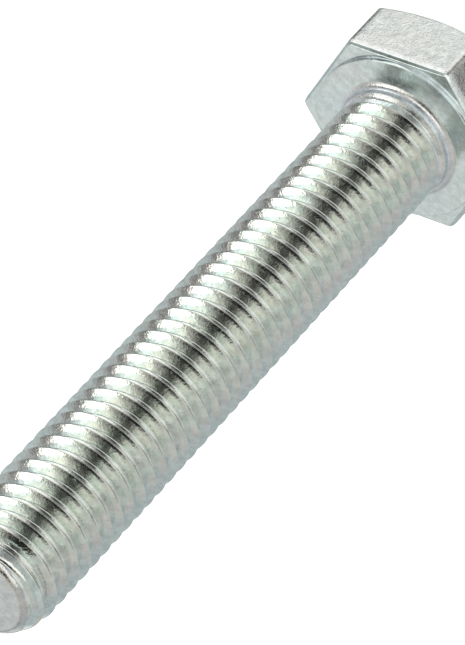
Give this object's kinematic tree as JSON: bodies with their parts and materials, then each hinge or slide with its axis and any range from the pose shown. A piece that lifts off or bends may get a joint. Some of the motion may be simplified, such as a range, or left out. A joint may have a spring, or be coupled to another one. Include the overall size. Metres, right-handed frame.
{
  "type": "hex bolt",
  "caption": "Hexagon-head bolt with an integral washer face and a right-hand metric thread over the whole length of its shank, for clamping parts with a nut or a tapped hole.",
  "frame": {"origin": "centre of the head's top face, on which the bolt stands", "axes": "+Z along the bolt's axis from the head's top face to the tip; +X square to one of the hexagon's flats"},
  "size_m": [0.016, 0.0184, 0.0664],
  "materials": {
    "hex_bolt": "bright zinc plate with a clear blue passivate, slightly grainy and faintly iridescent"
  },
  "bodies": {
    "root": {"hex_bolt": "hex_bolt"}
  },
  "joints": []
}
